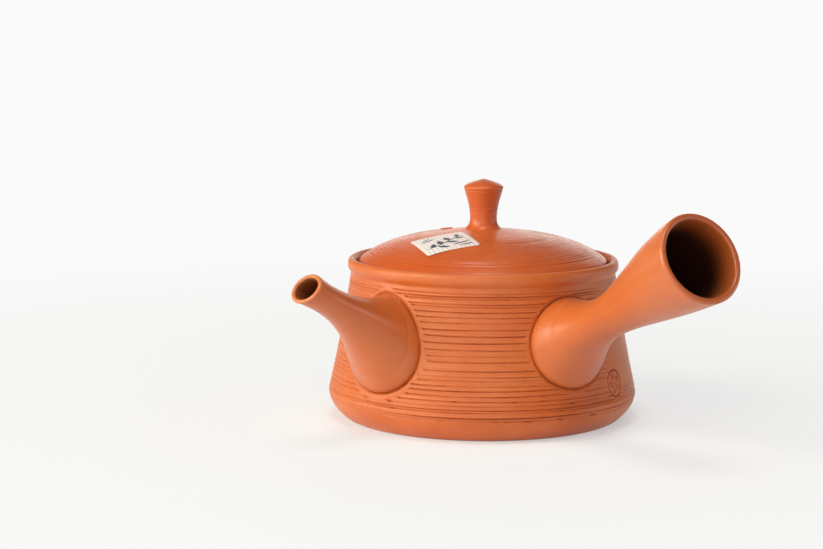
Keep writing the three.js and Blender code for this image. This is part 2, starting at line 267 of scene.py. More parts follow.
# Brush strokes: four points of a curve in label millimetres, and a width. The first is the sprig's stem.
INK_STROKES = (
    (((-8.0, -4.6), (-3.5, -4.6), (1.5, 0.2), (7.4, 4.6)), 0.3),
    (((-7.4, 3.2), (-5.6, 4.3), (-4.0, 4.0), (-2.6, 5.4)), 0.5),
    (((-6.2, 5.6), (-5.0, 6.6), (-4.2, 6.4), (-3.2, 7.3)), 0.36),
    (((1.4, -5.2), (3.2, -4.4), (5.0, -4.8), (7.8, -3.0)), 0.5),
    (((3.0, -7.2), (4.6, -6.6), (6.0, -7.0), (7.8, -6.0)), 0.42),
)
# Leaves: length, half-width, where each starts and its bearing
INK_LEAVES = (
    (4.2, 1.15, (-6.0, -4.6), 1.15), (4.4, 1.2, (-4.0, -4.2), -0.65), (4.7, 1.3, (-2.2, -3.0), 1.5),
    (4.4, 1.2, (0.0, -1.3), -0.35), (4.6, 1.25, (1.6, 0.2), 1.7), (4.0, 1.05, (3.6, 1.9), -0.1),
    (3.4, 0.95, (5.4, 3.3), 1.35),
)

rng = np.random.default_rng(7)


# Small helpers

def smooth(low, high, value):
    """0 below low, 1 above high, and a smooth step between them."""
    share = np.clip((value - low) / (high - low), 0, 1)
    return share * share * (3 - 2 * share)


def bump(value, width):
    return np.exp(-(value / width) ** 2)


def window(value, rise, fall):
    """1 between a rise and a fall, with a smooth step at each."""
    return smooth(*rise, value) * smooth(*fall, value)


def carve(offset, section):
    """Depth over a cross-section, as the sum of its humps."""
    return sum(depth * bump(offset - place, width) for depth, place, width in section)


def circle(sides):
    """Even angles round a turn."""
    return np.arange(sides) / sides * TURN


def turned_from(angle, start):
    """How far round from a start each angle lies, from half a turn before it to half a turn after."""
    return (angle - start + math.pi) % TURN - math.pi


def bezier(points, share):
    """Points of a Bezier curve of any degree at the shares given."""
    layers = [np.asarray(point, float) + np.zeros(np.shape(share) + (2,)) for point in points]
    share = np.asarray(share, float)[..., None]
    while len(layers) > 1:
        layers = [a * (1 - share) + b * share for a, b in zip(layers, layers[1:])]
    return layers[0]


def waves(angle, amplitude, lowest, highest, source):
    """A gentle wander round the pot, made of a few whole waves."""
    total = np.zeros_like(angle)
    for count in range(lowest, highest + 1):
        total += source.normal() / math.sqrt(count) * np.sin(count * angle + source.uniform(0, TURN))
    return amplitude * total


def patches(across, along, cells, source):
    """Soft random patches from -1 to 1, repeating across, for places across and along from 0 to 1."""
    table = source.uniform(-1, 1, cells)
    u, v = across * cells[0], np.clip(along, 0, 1) * (cells[1] - 1)
    i, j = np.floor(u).astype(int), np.minimum(np.floor(v).astype(int), cells[1] - 2)
    s, t = smooth(0, 1, u - i), smooth(0, 1, v - j)
    a, b = i % cells[0], (i + 1) % cells[0]
    low = table[a, j] * (1 - s) + table[b, j] * s
    high = table[a, j + 1] * (1 - s) + table[b, j + 1] * s
    return low * (1 - t) + high * t


def rounded_path(corners, step):
    """A profile through (radius, height, rounding) corners, with points about a step apart."""
    points = [np.array(corners[0][:2], float)]
    for before, here, after in zip(corners, corners[1:], corners[2:]):
        corner = np.array(here[:2], float)
        back, ahead = np.array(before[:2]) - corner, np.array(after[:2]) - corner
        reach = min(here[2], 0.49 * np.linalg.norm(back), 0.49 * np.linalg.norm(ahead))
        start = corner + back / np.linalg.norm(back) * reach
        end = corner + ahead / np.linalg.norm(ahead) * reach
        if reach < 0.02:
            points.append(corner)
            continue
        count = max(3, int(2 * reach / step))
        points.extend(bezier((start, corner, end), np.linspace(0, 1, count + 1)))
    points.append(np.array(corners[-1][:2], float))
    dense = [points[0]]
    for start, end in zip(points, points[1:]):
        count = max(1, int(np.linalg.norm(end - start) / step))
        dense.extend(start + (end - start) * k / count for k in range(1, count + 1))
    return np.array(dense)


def ring_mesh(name, rings, closed=False, start=None, end=None, values=None):
    """A smooth mesh through rings of points. Rings run outward-facing: anticlockwise, bottom to top.
    start and end are the points that close the first and last ring, and values are named numbers a vertex."""
    count, sides = rings.shape[:2]
    points = rings.reshape(-1, 3)
    index = np.arange(count * sides).reshape(count, sides)
    if closed:
        index = np.vstack([index, index[:1]])
    low, high = index[:-1], index[1:]
    faces = np.stack([low, np.roll(low, -1, 1), np.roll(high, -1, 1), high], -1).reshape(-1, 4).tolist()
    for point, ring, order in ((start, index[0], 1), (end, index[-1], -1)):
        if point is not None:
            points = np.vstack([points, [point]])
            tip = np.full(sides, len(points) - 1)
            faces.extend(np.stack([np.roll(ring, -1), ring, tip][::order], -1).tolist())
    mesh = bpy.data.meshes.new(name)
    mesh.from_pydata((points * MM).tolist(), [], faces, shade_flat=False)
    for key, numbers in (values or {}).items():
        layer = mesh.attributes.new(key, "FLOAT", "POINT")
        spare = np.zeros(len(points) - numbers.size)
        layer.data.foreach_set("value", np.concatenate([numbers.ravel(), spare]).astype(np.float32))
    return mesh


def new_object(name, data):
    thing = bpy.data.objects.new(name, data)
    bpy.context.scene.collection.objects.link(thing)
    return thing


def add_piece(name, mesh, body, material, node=None):
    piece = new_object(name, mesh)
    mesh.materials.clear()
    mesh.materials.append(material)
    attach(piece, body)
    if node:
        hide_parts(node)
    return piece


def cut(mesh, tool):
    """The mesh with the tool's space taken out of it."""
    base, drill = new_object("cut_base", mesh), new_object("cut_tool", tool)
    modifier = base.modifiers.new("cut", "BOOLEAN")
    modifier.operation = "DIFFERENCE"
    modifier.solver = "MANIFOLD"
    modifier.object = drill
    bpy.context.view_layer.update()
    result = bpy.data.meshes.new_from_object(base.evaluated_get(bpy.context.evaluated_depsgraph_get()))
    for part in (base, drill):
        bpy.data.objects.remove(part)
    return result


def cylinder_mesh(name, radius, start, end, sides=48):
    """A closed cylinder between two points."""
    start, end = np.array(start, float), np.array(end, float)
    axis = (end - start) / np.linalg.norm(end - start)
    across = np.cross(axis, (0.0, 0.0, 1.0) if abs(axis[2]) < 0.9 else (1.0, 0.0, 0.0))
    across /= np.linalg.norm(across)
    other = np.cross(axis, across)
    angle = circle(sides)
    ring = radius * (np.cos(angle)[:, None] * across + np.sin(angle)[:, None] * other)
    return ring_mesh(name, np.stack([start + ring, end + ring]), start=start, end=end)


def turned_rings(profile, angle):
    """Rings of a profile turned round the Z axis."""
    radius, height = profile[:, 0, None], profile[:, 1, None]
    return np.stack([radius * np.cos(angle), radius * np.sin(angle), height + 0 * angle], -1)


# Shapes shared by several pieces

def wall_radius(height):
    share = (height - BELLY_HEIGHT) / (NECK_HEIGHT - BELLY_HEIGHT)
    return BELLY_RADIUS + (NECK_RADIUS - BELLY_RADIUS) * share - TAPER_SAG * 4 * share * (1 - share)


def outer_radius(height):
    """Outside of the pot up to its neck, with the soft round of the foot."""
    top = (BELLY_RADIUS - BELLY_INSET, BELLY_HEIGHT)
    foot = bezier(((BASE_RADIUS, 0), *FOOT_BULGE, top), np.linspace(0, 1, 200))
    curved = np.interp(height, foot[:, 1], foot[:, 0])
    return np.where(height < BELLY_HEIGHT, curved, wall_radius(height) - BELLY_INSET)


def dome_height(radius):
    share = np.clip((radius - LID_PAD) / (LID_RADIUS - LID_PAD), 0, None)
    return SEAT_HEIGHT + LID_TOP - LID_RISE * (LID_SLOPE * share + (1 - LID_SLOPE) * share ** LID_POWER)


def turn_z(points, degrees):
    angle = math.radians(degrees)
    along, aside = math.cos(angle), math.sin(angle)
    spin = np.array([[along, aside, 0], [-aside, along, 0], [0, 0, 1]])
    return points @ spin


def root_aside(limb):
    """How far the root's centre lies beside the limb's own plane."""
    return wall_radius(limb["root_height"]) * math.sin(math.radians(limb["root_turn"] - limb["turn"]))


def root_distance(limb, angle, height):
    """Distance over the wall from the outline of a limb's root, negative inside it."""
    around = turned_from(angle, math.radians(limb["turn"]))
    side = np.sin(np.clip(around, -TURN / 4, TURN / 4)) * wall_radius(height) - root_aside(limb)
    up = height - limb["root_height"]
    width = limb["half_width"] * (1 - limb["narrowing"] * np.clip(up / limb["half_height"], -1, 1))
    scaled = np.hypot(side / width, up / limb["half_height"])
    return (scaled - 1) * np.hypot(side, up) / np.maximum(scaled, TINY)


# Pot

def nearest_root(angle, height):
    """Distance over the wall from the nearer root, less the strip wiped smooth round that root."""
    return np.minimum(*(root_distance(limb, angle, height) - limb["wiped"] for limb in (SPOUT, HANDLE)))


def comb_touch(angle, height):
    """How firmly the comb pressed: lightly beside the seal, and on the far side of the spout."""
    beside_seal = window(angle, *SEAL_SIDE) * smooth(*SEAL_SIDE_HEIGHT, height)
    return 1 - SEAL_SIDE_EASE * beside_seal - FAR_SIDE_EASE * window(angle, *FAR_SIDE)


def comb_depth(angle, height):
    """How deep the comb has scored the wall at each place: strong lines over a bed of soft fine ones."""
    depth = np.zeros((len(height), len(angle)))
    place = WALL_START + FLUTE_MARGIN[0]
    while place < WALL_END - FLUTE_MARGIN[1]:
        centre = place + waves(angle, FLUTE_WOBBLE, 2, 7, rng)
        force = rng.uniform(*FLUTE_DEPTH) * np.clip(1 + waves(angle, FLUTE_UNEVEN, 1, 6, rng), 0, 2.2)
        force = force * smooth(*FLUTE_FADE, nearest_root(angle, centre)) * comb_touch(angle, centre)
        offset = height[:, None] - centre
        flute = bump(offset, rng.uniform(*FLUTE_WIDTH))
        depth += force * (flute - FLUTE_BURR * bump(offset - FLUTE_BURR_RISE, FLUTE_WIDTH[1]))
        place += FLUTE_PITCH * rng.uniform(*FLUTE_SPACING)
    for line_height, strength in COMB_LINES:
        centre = line_height + waves(angle, COMB_WOBBLE, 1, 5, rng)
        force = COMB_FORCE * strength * np.clip(1 + waves(angle, COMB_UNEVEN, 1, 16, rng), 0.2, 1.6)
        away = nearest_root(angle, centre)
        stop = rng.uniform(*COMB_STOP) + waves(angle, COMB_STOP_WOBBLE, 5, 30, rng)
        touch = comb_touch(angle, line_height)
        force = force * smooth(stop - COMB_STOP_FADE, stop + COMB_STOP_FADE, away) * touch
        beside_spout = root_distance(SPOUT, angle, centre) < END_PIT_REACH
        end_pit = END_PIT_DEPTH * bump(away - stop - 0.1, END_PIT_WIDTH)
        end_pit = end_pit * rng.uniform(0.3, 1.0) * beside_spout * touch
        rows = np.abs(height - line_height) < 3
        offset = height[rows, None] - centre
        depth[rows] += force * carve(offset, COMB_SECTION) + end_pit * bump(offset, END_PIT_HEIGHT)
    return depth


def root_marks(angle, height):
    """The crevice and the pushed-up lip round each root."""
    marks = np.zeros((len(height), len(angle)))
    for limb in (SPOUT, HANDLE):
        away = root_distance(limb, angle, height[:, None])
        around = turned_from(angle, math.radians(limb["turn"]))
        bearing = np.arctan2(height[:, None] - limb["root_height"], around * BELLY_RADIUS) / TURN % 1
        uneven = 1 + ROOT_UNEVEN * patches(bearing, 0.5 + 0 * bearing, (40, 3), rng)
        marks += uneven * carve(away, ROOT_SECTION)
    return marks


def scattered_pits(angle, height):
    """Small pits and burrs that the comb tore along its lines, most of them along the lowest."""
    torn = np.zeros((len(height), len(angle)))
    for _ in range(PIT_COUNT):
        from_lowest = int(len(COMB_LINES) * rng.uniform() ** 2)
        place, line = rng.uniform(0, TURN), COMB_LINES[-1 - from_lowest][0]
        size, force = rng.uniform(*PIT_SIZE), rng.uniform(*PIT_DEPTH)
        if nearest_root(place, line) < PIT_CLEARANCE:
            continue
        rows = np.abs(height - line) < 2
        side = turned_from(angle, place) * wall_radius(line)
        offset = height[rows, None] - line
        torn[rows] += force * bump(side, size * rng.uniform(*PIT_LENGTHS)) * bump(offset, PIT_HEIGHT * size)
        burr = bump(side - PIT_BURR_SHIFT * size, size) * bump(offset - PIT_HEIGHT * size, size)
        torn[rows] -= PIT_BURR * force * burr
    return torn


def stamp_place(angle, height):
    """Places on the wall from the seal's middle: sideways, up and straight."""
    side = turned_from(angle, math.radians(STAMP_TURN)) * wall_radius(STAMP_HEIGHT)
    up = height[:, None] - STAMP_HEIGHT
    return side, up, np.hypot(side, up)


def stamp_depth(angle, height):
    """A plain round seal pressed into the wall: a five-petalled flower in a ring."""
    side, up, radius = stamp_place(angle, height)
    petal = np.abs((np.arctan2(up, side) / TURN * PETALS) % 1 - 0.5) / PETALS * TURN
    from_petal = np.hypot(radius * np.sin(petal), radius * np.cos(petal) - PETAL_REACH)
    lines = carve(radius, STAMP_SECTION) + carve(from_petal, PETAL_SECTION)
    return lines + STAMP_SINK * smooth(STAMP_RADIUS + 0.5, STAMP_RADIUS - 0.3, radius)


def pot_angles():
    """Angles round the pot, closer together where the seal is."""
    even = np.linspace(0, TURN, POT_SIDES, endpoint=False)
    centre, half = math.radians(STAMP_TURN), math.radians(STAMP_FINE_TURN)
    fine = np.linspace(centre - half, centre + half, 84)
    return np.sort(np.concatenate([even[np.abs(even - centre) > half + 0.004], fine]))


def pot_profile():
    """Closed profile of the pot, which of its rows are the scored wall, and the row where that ends."""
    base_corners = [(BASE_RADIUS + beyond, up, rounding) for beyond, up, rounding in BASE_CORNERS]
    base = rounded_path(((POT_START, 0, 0), *base_corners), 1.6)
    foot_heights = np.arange(0.7, WALL_START, FOOT_STEP)
    foot = np.stack([outer_radius(foot_heights), foot_heights], -1)
    wall_heights = np.arange(WALL_START, WALL_END, WALL_STEP)
    wall = np.stack([outer_radius(wall_heights), wall_heights], -1)
    underside = SEAT_HEIGHT - SEAT_THICKNESS
    slope = underside - (wall_radius(underside) - POT_WALL - MOUTH_RADIUS)
    floor_edge = wall_radius(FLOOR + FLOOR_ROUND) - POT_WALL
    rim = rounded_path((
        (outer_radius(WALL_END + WALL_STEP), WALL_END + WALL_STEP, 0),
        (NECK_RADIUS - NECK_HOLLOW, NECK_HEIGHT, 0.7),
        (RIM_RADIUS, NECK_HEIGHT + RIM_SWELL, 1.2),
        (RIM_RADIUS - 0.1, RIM_HEIGHT - RIM_SHOULDER, 1.2),
        (RIM_RADIUS - RIM_CHAMFER, RIM_HEIGHT, 1.0),
        (GALLERY_RADIUS + GALLERY_CHAMFER[0], RIM_HEIGHT, 0.5),
        (GALLERY_RADIUS, RIM_HEIGHT - GALLERY_CHAMFER[1], 1.0),
        (GALLERY_RADIUS, SEAT_HEIGHT, 0.4),
        (MOUTH_RADIUS, SEAT_HEIGHT, 0.5),
        (MOUTH_RADIUS, underside, 0.6),
        (wall_radius(slope) - POT_WALL, slope, 3),
        (wall_radius(FLOOR + FLOOR_COVE) - POT_WALL, FLOOR + FLOOR_COVE, 3),
        (floor_edge, FLOOR, FLOOR_ROUND),
        (POT_START, FLOOR + 0.1, 0),
    ), 0.45)
    profile = np.vstack([base, foot, wall, rim])
    first = len(base) + len(foot)
    return profile, slice(first, first + len(wall)), first + len(wall)


def make_pot(material):
    profile, wall, after = pot_profile()
    angle = pot_angles()
    heights = profile[wall, 1]
    scored = comb_depth(angle, heights) + scattered_pits(angle, heights)
    stamp = stamp_depth(angle, heights)
    inside_stamp = smooth(*STAMP_EDGE, stamp_place(angle, heights)[2])
    scored = scored * (1 - STAMP_WIPE * inside_stamp) + stamp + root_marks(angle, heights)
    covered = nearest_root(angle, heights[:, None])
    ends = window(heights[:, None], *COMB_ENDS)
    scored = np.where(covered < -COVERED, COVERED_DEPTH, scored) * ends
    radius = np.repeat(profile[:, 0, None], len(angle), 1)
    along = (profile[:, 1] / RIM_HEIGHT)[:, None] + 0 * angle
    across = np.broadcast_to(angle / TURN, radius.shape)
    uneven = WALL_UNEVEN * (patches(across, along, (14, 12), rng) - 1)
    inside = (np.arange(len(profile)) >= after) * (profile[:, 1] < THROWING_TOP)
    throwing = THROWING_DEPTH * np.sin(profile[:, 1] * THROWING_TURN + THROWING_SHIFT) * inside
    radius = radius + np.where(profile[:, 1, None] > 1.0, uneven, 0) + throwing[:, None]
    most = profile[wall, 0, None] + carve(covered, ROOT_LIP)
    radius[wall] = np.minimum(radius[wall] - scored, most)
    rings = np.stack([radius * np.cos(angle), radius * np.sin(angle), profile[:, 1, None] + 0 * radius], -1)
    # Painted shade: the clay darkens with the depth of the comb lines, pits, seal and root crevices
    named = {"painted_shade": np.zeros_like(radius), "combed": np.zeros_like(radius)}
    named["painted_shade"][wall] = np.clip((scored + PAINTED_SHADE_STAMP * stamp) / PAINTED_SHADE_DEPTH, 0, 1.6)
    combed = ends * smooth(*COMBED_FADE, covered) * (1 - inside_stamp)
    named["combed"][wall] = combed * comb_touch(angle, heights[:, None])
    mesh = ring_mesh("pot_wall", rings, start=(0, 0, 0), end=(0, 0, FLOOR + 0.1), values=named)
    near, far = ((-reach, 0, SPOUT["root_height"]) for reach in SPOUT_HOLE_REACH)
    drill = cylinder_mesh("spout_hole", SPOUT_HOLE_RADIUS, near, far, 64)
    return add_piece("pot_wall", cut(mesh, drill), POT_BODY, material, "pot")


# Limbs

def limb_curves(limb):
    rise = math.radians(limb["mouth_rise"])
    tilt = np.array([-math.sin(rise), math.cos(rise)]) * limb["mouth_radius"]
    mouth = np.array([limb["reach"], limb["mouth_height"]])
    curves = []
    for side, shares in ((1, limb["crown"]), (-1, limb["belly"])):
        height = limb["root_height"] + side * limb["half_height"]
        root = np.array([wall_radius(height) + ROOT_EDGE, height])
        lip = mouth + side * tilt
        curves.append((root, *(root + np.array(share) * (lip - root) for share in shares), lip))
    return curves


def limb_ring(limb, curves, share, inset, angle):
    """One round of a limb, an inset inside its surface, in the limb's own plane."""
    crown, belly = bezier(curves[0], share), bezier(curves[1], share)
    centre, up = (crown + belly) / 2, (crown - belly) / 2
    half = np.linalg.norm(up)
    near_root = (1 - share) ** 2
    width = half * (1 + (limb["half_width"] / limb["half_height"] - 1) * near_root) - inset
    narrowed = width * (1 - limb["narrowing"] * near_root * np.cos(angle))
    side = root_aside(limb) * near_root - narrowed * np.sin(angle)
    raised = np.cos(angle) * (1 - inset / half)
    wall = wall_radius(limb["root_height"])
    wrap = max(0, 1 - share / ROOT_WRAP_SHARE) ** 2 * (wall - np.sqrt(wall ** 2 - side ** 2))
    return np.stack([centre[0] + raised * up[0] - wrap, side, centre[1] + raised * up[1]], -1)


def make_limb(name, limb, material, node):
    """A hollow limb as one skin: up the outside, round the lip and back down the bore."""
    curves = limb_curves(limb)
    angle = circle(LIMB_SIDES)
    rise = math.radians(limb["mouth_rise"])
    outward = np.array([math.cos(rise), 0, math.sin(rise)])

    def ring(share, inset=0):
        return limb_ring(limb, curves, share, inset, angle)

    first = ring(0.0)
    on_wall = first.copy()
    on_wall[:, 0] = np.sqrt(wall_radius(first[:, 2]) ** 2 - first[:, 1] ** 2)
    rings = [on_wall - np.array([ROOT_SINK, 0, 0])]
    bell = ring(ROOT_ROUND_SHARE)
    for share in np.linspace(0, 1, ROOT_ROWS, endpoint=False):
        rings.append(on_wall * (1 - share) ** 2 + first * 2 * share * (1 - share) + bell * share ** 2)
    root_row = len(rings)
    lip = limb["lip_wall"] / 2
    length = np.linalg.norm(np.array(curves[0][3]) - curves[0][0])
    last_share = 1 - lip / length
    rings.extend(ring(share) for share in np.linspace(ROOT_ROUND_SHARE, last_share, LIMB_ROWS))
    lip_row = len(rings)
    mouth = ring(1.0)
    centre = mouth.mean(0)
    spokes = (mouth - centre) / np.linalg.norm(mouth - centre, axis=1)[:, None]
    for bend in np.linspace(0, math.pi, LIP_ROWS + 1)[1:]:
        inset, back = lip * (1 - math.cos(bend)), lip * (1 - math.sin(bend))
        rings.append(mouth - spokes * inset - outward * back)
    for share in np.linspace(last_share, 0, LIMB_ROWS // 2)[1:]:
        taper = min(1, share / BORE_TAPER_SHARE)
        rings.append(ring(share, limb["root_wall"] + (limb["lip_wall"] - limb["root_wall"]) * taper))
    rings.append(rings[-1] - np.array([ROOT_EDGE + ROOT_SINK, 0, 0]))
    rings = np.array(rings)
    centres = rings.mean(1, keepdims=True)
    row = np.arange(len(rings))[:, None]
    grown = row / (len(rings) - 1) + 0 * angle
    uneven = patches(np.broadcast_to(angle / TURN, grown.shape), grown, (7, 16), rng) - 1
    settle = window(row, (root_row, root_row + 7), (lip_row - 1, lip_row - 7))
    swollen = LIMB_UNEVEN * uneven * settle - COLLAR_DEPTH * bump(row - root_row - 2, 1.3)
    rings = centres + (rings - centres) * (1 + swollen[..., None])
    # Painted shade down the bore: the clay turns near black a little way in from the lip
    into = np.linalg.norm(centres - centre, axis=-1) - limb["mouth_radius"] * 0.3
    start, end = (share * limb["mouth_radius"] for share in limb["bore_fade"])
    painted_bore_shade = smooth(start, end, into) * (row > lip_row + 5)
    edge = window(row, (lip_row - 1, lip_row + 2), (lip_row + 15, lip_row + 10))
    named = {
        "painted_bore_shade": painted_bore_shade * limb["bore_shade"] + 0 * angle,
        "pale": edge * limb["lip_paleness"] + 0 * angle,
        # Painted shade on the handle's lip, whose mouth faces away from the lamps
        "painted_shade": edge * limb["lip_painted_shade"] + 0 * angle,
    }
    mesh = ring_mesh(name, turn_z(rings, limb["turn"]), closed=True, values=named)
    return add_piece(name, mesh, POT_BODY, material, node)


# Strainer

def make_strainer(material):
    """A half ball with fine holes, luted over the spout's hole inside the pot."""
    seat = wall_radius(SPOUT["root_height"]) - POT_WALL
    inner_radius = BALL_RADIUS - BALL_WALL
    polar = np.radians(np.linspace(4, 90, 60))
    dome = np.stack([np.sin(polar), np.cos(polar)], -1)
    skirt = ((inner_radius, -BALL_SKIRT), (BALL_RADIUS + BALL_SKIRT_FLARE, -BALL_SKIRT))
    profile = np.vstack([skirt, BALL_RADIUS * dome[::-1]])
    angle = circle(96)
    rings = np.concatenate([turned_rings(inner_radius * dome, angle), turned_rings(profile, angle)])
    mesh = ring_mesh("strainer_ball", rings, start=(0, 0, inner_radius), end=(0, 0, BALL_RADIUS))
    needles = []
    for ring in range(STRAINER_RINGS + 1):
        holes = max(1, 6 * ring)
        for hole in range(holes):
            tilt, bearing = math.radians(ring * STRAINER_STEP), hole / holes * TURN + 0.3 * ring
            aside = math.sin(tilt)
            way = np.array([aside * math.cos(bearing), aside * math.sin(bearing), math.cos(tilt)])
            start, end = way * (inner_radius - DRILL_PAST[0]), way * (BALL_RADIUS + DRILL_PAST[1])
            needles.append(cylinder_mesh("drill", STRAINER_HOLE, start, end, 10))
    mesh = cut(mesh, join_meshes("strainer_drills", needles))
    place = Matrix.Translation((-seat * MM, 0, SPOUT["root_height"] * MM))
    mesh.transform(place @ Matrix.Rotation(math.radians(90), 4, "Y"))
    for vertex in mesh.vertices:
        side, height = vertex.co.y / MM, vertex.co.z / MM
        inside_wall = -math.sqrt((wall_radius(height) - POT_WALL / 2) ** 2 - side ** 2)
        vertex.co.x = max(vertex.co.x, inside_wall * MM)
    return add_piece("strainer_ball", mesh, POT_BODY, material, "strainer")


def join_meshes(name, meshes):
    points, faces = [], []
    for mesh in meshes:
        first = len(points)
        points.extend(vertex.co[:] for vertex in mesh.vertices)
        faces.extend([first + i for i in polygon.vertices] for polygon in mesh.polygons)
        bpy.data.meshes.remove(mesh)
    joined = bpy.data.meshes.new(name)
    joined.from_pydata(points, [], faces)
    return joined


# Lid

def lid_grooves(radius, angle):
    """Turning lines of the lid: fine in its outer half, faint at its centre, two strong ones at its edge."""
    depth = np.zeros((len(radius), len(angle)))
    place, last = LID_LINES
    while place < last:
        outer = float(smooth(*LID_OUTER, place))
        force = rng.uniform(*LID_INNER_DEPTH) * (1 - outer) + rng.uniform(*LID_OUTER_DEPTH) * outer
        centre = place + waves(angle, LID_LINE_WOBBLE, 1, 4, rng)
        force = force * np.clip(1 + waves(angle, LID_LINE_UNEVEN, 2, 14, rng), 0.4, 1.6)
        depth += force * carve(radius[:, None] - centre, LID_SECTION)
        place += rng.uniform(*LID_LINE_PITCH)
    return depth + carve(radius[:, None], LID_EDGE_SECTION)


def make_lid(material):
    edge = float(dome_height(LID_RADIUS)) - 0.02
    under = rounded_path((
        (LID_START, SEAT_HEIGHT + LID_TOP - LID_WALL, 0),
        (LID_PAD, SEAT_HEIGHT + LID_TOP - LID_WALL, 3),
        *((r, float(dome_height(r)) - LID_WALL, 2) for r in np.linspace(12, FLANGE_BORE - 3, 6)),
        (FLANGE_BORE, float(dome_height(FLANGE_BORE)) - LID_WALL, 2),
        (FLANGE_BORE, SEAT_HEIGHT - FLANGE_DEPTH, 0.8),
        (FLANGE_RADIUS, SEAT_HEIGHT - FLANGE_DEPTH, 0.8),
        (FLANGE_RADIUS, SEAT_HEIGHT, 0.3),
        (LID_RADIUS, SEAT_HEIGHT, 0.5),
        (LID_RADIUS, edge - 0.05, 0.9),
        (LID_RADIUS - 2, float(dome_height(LID_RADIUS - 2)), 0),
    ), 0.5)
    top_radius = np.arange(LID_TOP_EDGE, LID_START, -0.13)
    top = np.stack([top_radius, dome_height(top_radius)], -1)
    angle = circle(420)
    profile = np.vstack([under, top])
    rings = turned_rings(profile, angle)
    first = len(under)
    grooves = lid_grooves(top_radius, angle)
    sides = np.broadcast_to(angle / TURN, grooves.shape)
    outward = np.repeat(top_radius[:, None] / LID_RADIUS, len(angle), 1)
    uneven = LID_UNEVEN * patches(sides, outward, (9, 7), rng)
    vent = turn_z(np.array([[VENT_REACH, 0, 0]]), VENT_TURN)[0]
    from_vent = np.hypot(rings[first:, :, 0] - vent[0], rings[first:, :, 1] - vent[1])
    fade = window(top_radius, (LID_TOP_EDGE, LID_TOP_EDGE - 0.8), (KNOB_FOOT - 1, KNOB_FOOT + 1.5))
    rings[first:, :, 2] += fade[:, None] * (uneven - grooves - carve(from_vent, VENT_SECTION))
    # Painted shade in the lid's turned lines, by their depth
    named = {"painted_shade": np.zeros(rings.shape[:2]), "combed": np.zeros(rings.shape[:2])}
    named["painted_shade"][first:] = np.clip(grooves / LID_PAINTED_SHADE_DEPTH, 0, 1) * fade[:, None]
    named["combed"][first:] = (fade * smooth(*LID_COMBED, top_radius))[:, None]
    crown = SEAT_HEIGHT + LID_TOP
    mesh = ring_mesh("lid_dome", rings, start=(0, 0, crown - LID_WALL), end=(0, 0, crown), values=named)
    foot, head = ((*vent[:2], height) for height in (SEAT_HEIGHT + 2, crown + 4))
    mesh = cut(mesh, cylinder_mesh("vent", VENT_RADIUS, foot, head, 32))
    return add_piece("lid_dome", mesh, LID_BODY, material, "lid")


def make_knob(material):
    ground = SEAT_HEIGHT + LID_TOP
    stem_height = KNOB_CAP_HEIGHT - KNOB_WAIST_HEIGHT
    crown = KNOB_CAP_HEIGHT + KNOB_CAP_EDGE
    crown_height = KNOB_HEIGHT - crown
    swell = KNOB_RADIUS - KNOB_WAIST
    flare = bezier((
        (KNOB_FOOT + 0.25, -0.12), (KNOB_WAIST, KNOB_WAIST_HEIGHT * 0.25), (KNOB_WAIST, KNOB_WAIST_HEIGHT),
    ), np.linspace(0, 1, 18))
    stem = bezier((
        (KNOB_WAIST, KNOB_WAIST_HEIGHT), (KNOB_WAIST, KNOB_WAIST_HEIGHT + stem_height * 0.4),
        (KNOB_RADIUS - swell * 0.4, KNOB_CAP_HEIGHT - stem_height * 0.25),
        (KNOB_RADIUS - 0.03, KNOB_CAP_HEIGHT),
    ), np.linspace(0, 1, 60))[1:]
    cap = bezier((
        (KNOB_RADIUS, crown), (KNOB_RADIUS, crown + 0.35 * crown_height),
        (KNOB_RADIUS * 0.45, crown + 0.8 * crown_height), (0, KNOB_HEIGHT - 0.02),
    ), np.linspace(0, 0.97, 50))
    profile = np.vstack([flare, stem, cap])
    profile[:, 0] -= carve(profile[:, 1], KNOB_SECTION) * (profile[:, 1] < KNOB_CAP_HEIGHT)
    angle = circle(128)
    rings = turned_rings(profile + np.array([0, ground]), angle)
    ends = {"start": (0, 0, ground - 0.15), "end": (0, 0, ground + KNOB_HEIGHT)}
    return add_piece("knob_clay", ring_mesh("knob_clay", rings, **ends), LID_BODY, material, "lid_knob")


# Label

def label_surface(along, across):
    """A place on the lid for a place on the label, in millimetres from its middle."""
    flat = turn_z(np.stack([along, across, 0 * along], -1), LABEL_TWIST - LABEL_TURN)
    flat = turn_z(flat + np.array([LABEL_REACH, 0, 0]), LABEL_TURN)
    curled = smooth(0.2, 1.0, across / LABEL_WIDTH * -2) * smooth(-0.2, 1.0, along / LABEL_LENGTH * -2)
    flat[..., 2] = dome_height(np.hypot(flat[..., 0], flat[..., 1])) + LABEL_REST + LABEL_LIFT * curled
    return flat


